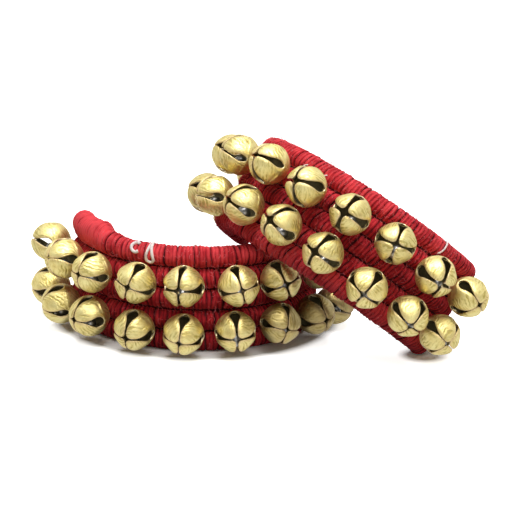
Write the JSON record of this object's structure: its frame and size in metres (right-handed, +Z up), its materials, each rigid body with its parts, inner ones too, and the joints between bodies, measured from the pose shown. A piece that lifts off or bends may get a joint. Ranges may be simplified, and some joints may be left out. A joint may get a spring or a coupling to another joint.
{
  "type": "pair of ankle bells",
  "caption": "Pair of soft open ankle bands, red yarn wound on thick cords sewn side by side, with rows of slotted brass bells that hold loose pellets and jingle as the wearer dances.",
  "frame": {"origin": "on the floor, under the middle of the pair's bounding box", "axes": "+Z up, -Y towards the side that the picture shows, +X to the right in it"},
  "size_m": [0.2092, 0.1182, 0.0944],
  "materials": {
    "yarn": "red cotton yarn, wound",
    "brass": "filed, worn brass",
    "steel": "plain steel"
  },
  "bodies": {
    "left_band": {"left_roll_1": "yarn", "left_roll_2": "yarn", "left_roll_3": "yarn", "left_roll_4": "yarn", "left_roll_5": "yarn"},
    "right_band": {"right_roll_1": "yarn", "right_roll_2": "yarn", "right_roll_3": "yarn", "right_roll_4": "yarn", "right_roll_5": "yarn"},
    "left_upper_bell_1": {"left_upper_bell_1": "brass"},
    "left_upper_bell_2": {"left_upper_bell_2": "brass"},
    "left_upper_bell_3": {"left_upper_bell_3": "brass"},
    "left_upper_bell_4": {"left_upper_bell_4": "brass"},
    "left_upper_bell_5": {"left_upper_bell_5": "brass"},
    "left_upper_bell_6": {"left_upper_bell_6": "brass"},
    "left_upper_bell_7": {"left_upper_bell_7": "brass"},
    "left_upper_bell_8": {"left_upper_bell_8": "brass"},
    "left_upper_bell_9": {"left_upper_bell_9": "brass"},
    "left_lower_bell_1": {"left_lower_bell_1": "brass"},
    "left_lower_bell_2": {"left_lower_bell_2": "brass"},
    "left_lower_bell_3": {"left_lower_bell_3": "brass"},
    "left_lower_bell_4": {"left_lower_bell_4": "brass"},
    "left_lower_bell_5": {"left_lower_bell_5": "brass"},
    "left_lower_bell_6": {"left_lower_bell_6": "brass"},
    "left_lower_bell_7": {"left_lower_bell_7": "brass"},
    "left_lower_bell_8": {"left_lower_bell_8": "brass"},
    "left_lower_bell_9": {"left_lower_bell_9": "brass"},
    "right_upper_bell_1": {"right_upper_bell_1": "brass"},
    "right_upper_bell_2": {"right_upper_bell_2": "brass"},
    "right_upper_bell_3": {"right_upper_bell_3": "brass"},
    "right_upper_bell_4": {"right_upper_bell_4": "brass"},
    "right_upper_bell_5": {"right_upper_bell_5": "brass"},
    "right_upper_bell_6": {"right_upper_bell_6": "brass"},
    "right_upper_bell_7": {"right_upper_bell_7": "brass"},
    "right_upper_bell_8": {"right_upper_bell_8": "brass"},
    "right_upper_bell_9": {"right_upper_bell_9": "brass"},
    "right_lower_bell_1": {"right_lower_bell_1": "brass"},
    "right_lower_bell_2": {"right_lower_bell_2": "brass"},
    "right_lower_bell_3": {"right_lower_bell_3": "brass"},
    "right_lower_bell_4": {"right_lower_bell_4": "brass"},
    "right_lower_bell_5": {"right_lower_bell_5": "brass"},
    "right_lower_bell_6": {"right_lower_bell_6": "brass"},
    "right_lower_bell_7": {"right_lower_bell_7": "brass"},
    "right_lower_bell_8": {"right_lower_bell_8": "brass"},
    "right_lower_bell_9": {"right_lower_bell_9": "brass"},
    "left_upper_pellet_2": {"left_upper_pellet_2": "steel"},
    "left_upper_pellet_3": {"left_upper_pellet_3": "steel"},
    "left_upper_pellet_4": {"left_upper_pellet_4": "steel"},
    "left_upper_pellet_5": {"left_upper_pellet_5": "steel"},
    "left_upper_pellet_6": {"left_upper_pellet_6": "steel"},
    "left_upper_pellet_7": {"left_upper_pellet_7": "steel"},
    "left_upper_pellet_8": {"left_upper_pellet_8": "steel"},
    "right_upper_pellet_2": {"right_upper_pellet_2": "steel"},
    "right_upper_pellet_3": {"right_upper_pellet_3": "steel"},
    "right_upper_pellet_4": {"right_upper_pellet_4": "steel"},
    "right_upper_pellet_5": {"right_upper_pellet_5": "steel"},
    "right_upper_pellet_6": {"right_upper_pellet_6": "steel"},
    "right_upper_pellet_7": {"right_upper_pellet_7": "steel"},
    "right_upper_pellet_8": {"right_upper_pellet_8": "steel"}
  },
  "joints": [
    {"name": "anklet_right_lift", "type": "slide", "parent": "left_band", "child": "right_band", "axis": [0, 0, 1], "range_m": [0, 0.12]},
    {"name": "left_upper_bell_swing_1", "type": "hinge", "parent": "left_band", "child": "left_upper_bell_1", "pos_m": [-0.08539, 0.02066, 0.03365], "axis": [0.1392, -0.9903, 0], "range_deg": [-19, 6]},
    {"name": "left_upper_bell_swing_2", "type": "hinge", "parent": "left_band", "child": "left_upper_bell_2", "pos_m": [-0.07908, 0.00138, 0.03365], "axis": [0.4741, -0.8805, 0], "range_deg": [-21, 9]},
    {"name": "left_upper_bell_swing_3", "type": "hinge", "parent": "left_band", "child": "left_upper_bell_3", "pos_m": [-0.06646, -0.0145, 0.03365], "axis": [0.7501, -0.6613, 0], "range_deg": [-25, 4]},
    {"name": "left_upper_bell_swing_4", "type": "hinge", "parent": "left_band", "child": "left_upper_bell_4", "pos_m": [-0.04912, -0.02502, 0.03365], "axis": [0.933, -0.36, 0], "range_deg": [-25, 7]},
    {"name": "left_upper_bell_swing_5", "type": "hinge", "parent": "left_band", "child": "left_upper_bell_5", "pos_m": [-0.02921, -0.02887, 0.03365], "axis": [0.9999, -0.014, 0], "range_deg": [-25, 7]},
    {"name": "left_upper_bell_swing_6", "type": "hinge", "parent": "left_band", "child": "left_upper_bell_6", "pos_m": [-0.0092, -0.02558, 0.03365], "axis": [0.9426, 0.3338, 0], "range_deg": [-25, 5]},
    {"name": "left_upper_bell_swing_7", "type": "hinge", "parent": "left_band", "child": "left_upper_bell_7", "pos_m": [0.00843, -0.01555, 0.03365], "axis": [0.7683, 0.6401, 0], "range_deg": [-2, 3]},
    {"name": "left_upper_bell_swing_8", "type": "hinge", "parent": "left_band", "child": "left_upper_bell_8", "pos_m": [0.02148, -0.00002, 0.03365], "axis": [0.4985, 0.8669, 0], "range_deg": [-25, 5]},
    {"name": "left_upper_bell_swing_9", "type": "hinge", "parent": "left_band", "child": "left_upper_bell_9", "pos_m": [0.02834, 0.01907, 0.03365], "axis": [0.1668, 0.986, 0], "range_deg": [-25, 10]},
    {"name": "left_lower_bell_swing_1", "type": "hinge", "parent": "left_band", "child": "left_lower_bell_1", "pos_m": [-0.08539, 0.02066, 0.01405], "axis": [0.1392, -0.9903, 0], "range_deg": [-6, 20]},
    {"name": "left_lower_bell_swing_2", "type": "hinge", "parent": "left_band", "child": "left_lower_bell_2", "pos_m": [-0.07908, 0.00138, 0.01405], "axis": [0.4741, -0.8805, 0], "range_deg": [-9, 20]},
    {"name": "left_lower_bell_swing_3", "type": "hinge", "parent": "left_band", "child": "left_lower_bell_3", "pos_m": [-0.06646, -0.0145, 0.01405], "axis": [0.7501, -0.6613, 0], "range_deg": [-4, 20]},
    {"name": "left_lower_bell_swing_4", "type": "hinge", "parent": "left_band", "child": "left_lower_bell_4", "pos_m": [-0.04912, -0.02502, 0.01405], "axis": [0.933, -0.36, 0], "range_deg": [-7, 20]},
    {"name": "left_lower_bell_swing_5", "type": "hinge", "parent": "left_band", "child": "left_lower_bell_5", "pos_m": [-0.02921, -0.02887, 0.01405], "axis": [0.9999, -0.014, 0], "range_deg": [-7, 19]},
    {"name": "left_lower_bell_swing_6", "type": "hinge", "parent": "left_band", "child": "left_lower_bell_6", "pos_m": [-0.0092, -0.02558, 0.01405], "axis": [0.9426, 0.3338, 0], "range_deg": [-5, 20]},
    {"name": "left_lower_bell_swing_7", "type": "hinge", "parent": "left_band", "child": "left_lower_bell_7", "pos_m": [0.00843, -0.01555, 0.01405], "axis": [0.7683, 0.6401, 0], "range_deg": [-3, 20]},
    {"name": "left_lower_bell_swing_8", "type": "hinge", "parent": "left_band", "child": "left_lower_bell_8", "pos_m": [0.02148, -0.00002, 0.01405], "axis": [0.4985, 0.8669, 0], "range_deg": [-5, 17]},
    {"name": "left_lower_bell_swing_9", "type": "hinge", "parent": "left_band", "child": "left_lower_bell_9", "pos_m": [0.02834, 0.01907, 0.01405], "axis": [0.1668, 0.986, 0], "range_deg": [-10, 10]},
    {"name": "right_upper_bell_swing_1", "type": "hinge", "parent": "right_band", "child": "right_upper_bell_1", "pos_m": [0.00457, 0.04127, 0.06429], "axis": [-0.605, -0.523, 0.6003], "range_deg": [-25, 5]},
    {"name": "right_upper_bell_swing_2", "type": "hinge", "parent": "right_band", "child": "right_upper_bell_2", "pos_m": [-0.00338, 0.02479, 0.07586], "axis": [-0.0866, -0.9097, 0.406], "range_deg": [-25, 5]},
    {"name": "right_upper_bell_swing_3", "type": "hinge", "parent": "right_band", "child": "right_upper_bell_3", "pos_m": [0.00105, 0.0042, 0.08084], "axis": [0.4714, -0.8815, 0.0266], "range_deg": [-25, 6]},
    {"name": "right_upper_bell_swing_4", "type": "hinge", "parent": "right_band", "child": "right_upper_bell_4", "pos_m": [0.0126, -0.01218, 0.07949], "axis": [0.6651, -0.7295, -0.1597], "range_deg": [-25, 6]},
    {"name": "right_upper_bell_swing_5", "type": "hinge", "parent": "right_band", "child": "right_upper_bell_5", "pos_m": [0.02744, -0.02475, 0.0745], "axis": [0.7954, -0.5079, -0.3308], "range_deg": [-25, 2]},
    {"name": "right_upper_bell_swing_6", "type": "hinge", "parent": "right_band", "child": "right_upper_bell_6", "pos_m": [0.04416, -0.03234, 0.06636], "axis": [0.8498, -0.2379, -0.4703], "range_deg": [-25, 3]},
    {"name": "right_upper_bell_swing_7", "type": "hinge", "parent": "right_band", "child": "right_upper_bell_7", "pos_m": [0.06117, -0.0342, 0.05583], "axis": [0.8233, 0.0547, -0.565], "range_deg": [-25, 10]},
    {"name": "right_upper_bell_swing_8", "type": "hinge", "parent": "right_band", "child": "right_upper_bell_8", "pos_m": [0.07684, -0.03016, 0.04393], "axis": [0.7183, 0.3422, -0.6058], "range_deg": [-25, 5]},
    {"name": "right_upper_bell_swing_9", "type": "hinge", "parent": "right_band", "child": "right_upper_bell_9", "pos_m": [0.08968, -0.02062, 0.03179], "axis": [0.5448, 0.597, -0.5889], "range_deg": [-25, 5]},
    {"name": "right_lower_bell_swing_1", "type": "hinge", "parent": "right_band", "child": "right_lower_bell_1", "pos_m": [-0.00572, 0.0353, 0.04872], "axis": [-0.605, -0.523, 0.6003], "range_deg": [-5, 12]},
    {"name": "right_lower_bell_swing_2", "type": "hinge", "parent": "right_band", "child": "right_lower_bell_2", "pos_m": [-0.01367, 0.01882, 0.06029], "axis": [-0.0866, -0.9097, 0.406], "range_deg": [-5, 11]},
    {"name": "right_lower_bell_swing_3", "type": "hinge", "parent": "right_band", "child": "right_lower_bell_3", "pos_m": [-0.00925, -0.00177, 0.06526], "axis": [0.4714, -0.8815, 0.0266], "range_deg": [-6, 3]},
    {"name": "right_lower_bell_swing_4", "type": "hinge", "parent": "right_band", "child": "right_lower_bell_4", "pos_m": [0.00231, -0.01815, 0.06391], "axis": [0.6651, -0.7295, -0.1597], "range_deg": [-6, 15]},
    {"name": "right_lower_bell_swing_5", "type": "hinge", "parent": "right_band", "child": "right_lower_bell_5", "pos_m": [0.01715, -0.03073, 0.05892], "axis": [0.7954, -0.5079, -0.3308], "range_deg": [-2, 19]},
    {"name": "right_lower_bell_swing_6", "type": "hinge", "parent": "right_band", "child": "right_lower_bell_6", "pos_m": [0.03387, -0.03831, 0.05078], "axis": [0.8498, -0.2379, -0.4703], "range_deg": [-3, 14]},
    {"name": "right_lower_bell_swing_7", "type": "hinge", "parent": "right_band", "child": "right_lower_bell_7", "pos_m": [0.05088, -0.04017, 0.04026], "axis": [0.8233, 0.0547, -0.565], "range_deg": [-10, 3]},
    {"name": "right_lower_bell_swing_8", "type": "hinge", "parent": "right_band", "child": "right_lower_bell_8", "pos_m": [0.06655, -0.03614, 0.02836], "axis": [0.7183, 0.3422, -0.6058], "range_deg": [-5, 4]},
    {"name": "right_lower_bell_swing_9", "type": "hinge", "parent": "right_band", "child": "right_lower_bell_9", "pos_m": [0.07938, -0.02659, 0.01622], "axis": [0.5448, 0.597, -0.5889], "range_deg": [-5, 14]},
    {"name": "left_upper_pellet_rise_2", "type": "slide", "parent": "left_upper_bell_2", "child": "left_upper_pellet_2", "axis": [0, 0, 1], "range_m": [0, 0.006]},
    {"name": "left_upper_pellet_rise_3", "type": "slide", "parent": "left_upper_bell_3", "child": "left_upper_pellet_3", "axis": [0, 0, 1], "range_m": [0, 0.006]},
    {"name": "left_upper_pellet_rise_4", "type": "slide", "parent": "left_upper_bell_4", "child": "left_upper_pellet_4", "axis": [0, 0, 1], "range_m": [0, 0.006]},
    {"name": "left_upper_pellet_rise_5", "type": "slide", "parent": "left_upper_bell_5", "child": "left_upper_pellet_5", "axis": [0, 0, 1], "range_m": [0, 0.006]},
    {"name": "left_upper_pellet_rise_6", "type": "slide", "parent": "left_upper_bell_6", "child": "left_upper_pellet_6", "axis": [0, 0, 1], "range_m": [0, 0.006]},
    {"name": "left_upper_pellet_rise_7", "type": "slide", "parent": "left_upper_bell_7", "child": "left_upper_pellet_7", "axis": [0, 0, 1], "range_m": [0, 0.006]},
    {"name": "left_upper_pellet_rise_8", "type": "slide", "parent": "left_upper_bell_8", "child": "left_upper_pellet_8", "axis": [0, 0, 1], "range_m": [0, 0.006]},
    {"name": "right_upper_pellet_rise_2", "type": "slide", "parent": "right_upper_bell_2", "child": "right_upper_pellet_2", "axis": [0, 0, 1], "range_m": [0, 0.006]},
    {"name": "right_upper_pellet_rise_3", "type": "slide", "parent": "right_upper_bell_3", "child": "right_upper_pellet_3", "axis": [0, 0, 1], "range_m": [0, 0.006]},
    {"name": "right_upper_pellet_rise_4", "type": "slide", "parent": "right_upper_bell_4", "child": "right_upper_pellet_4", "axis": [0, 0, 1], "range_m": [0, 0.006]},
    {"name": "right_upper_pellet_rise_5", "type": "slide", "parent": "right_upper_bell_5", "child": "right_upper_pellet_5", "axis": [0, 0, 1], "range_m": [0, 0.006]},
    {"name": "right_upper_pellet_rise_6", "type": "slide", "parent": "right_upper_bell_6", "child": "right_upper_pellet_6", "axis": [0, 0, 1], "range_m": [0, 0.006]},
    {"name": "right_upper_pellet_rise_7", "type": "slide", "parent": "right_upper_bell_7", "child": "right_upper_pellet_7", "axis": [0, 0, 1], "range_m": [0, 0.006]},
    {"name": "right_upper_pellet_rise_8", "type": "slide", "parent": "right_upper_bell_8", "child": "right_upper_pellet_8", "axis": [0, 0, 1], "range_m": [0, 0.006]}
  ]
}
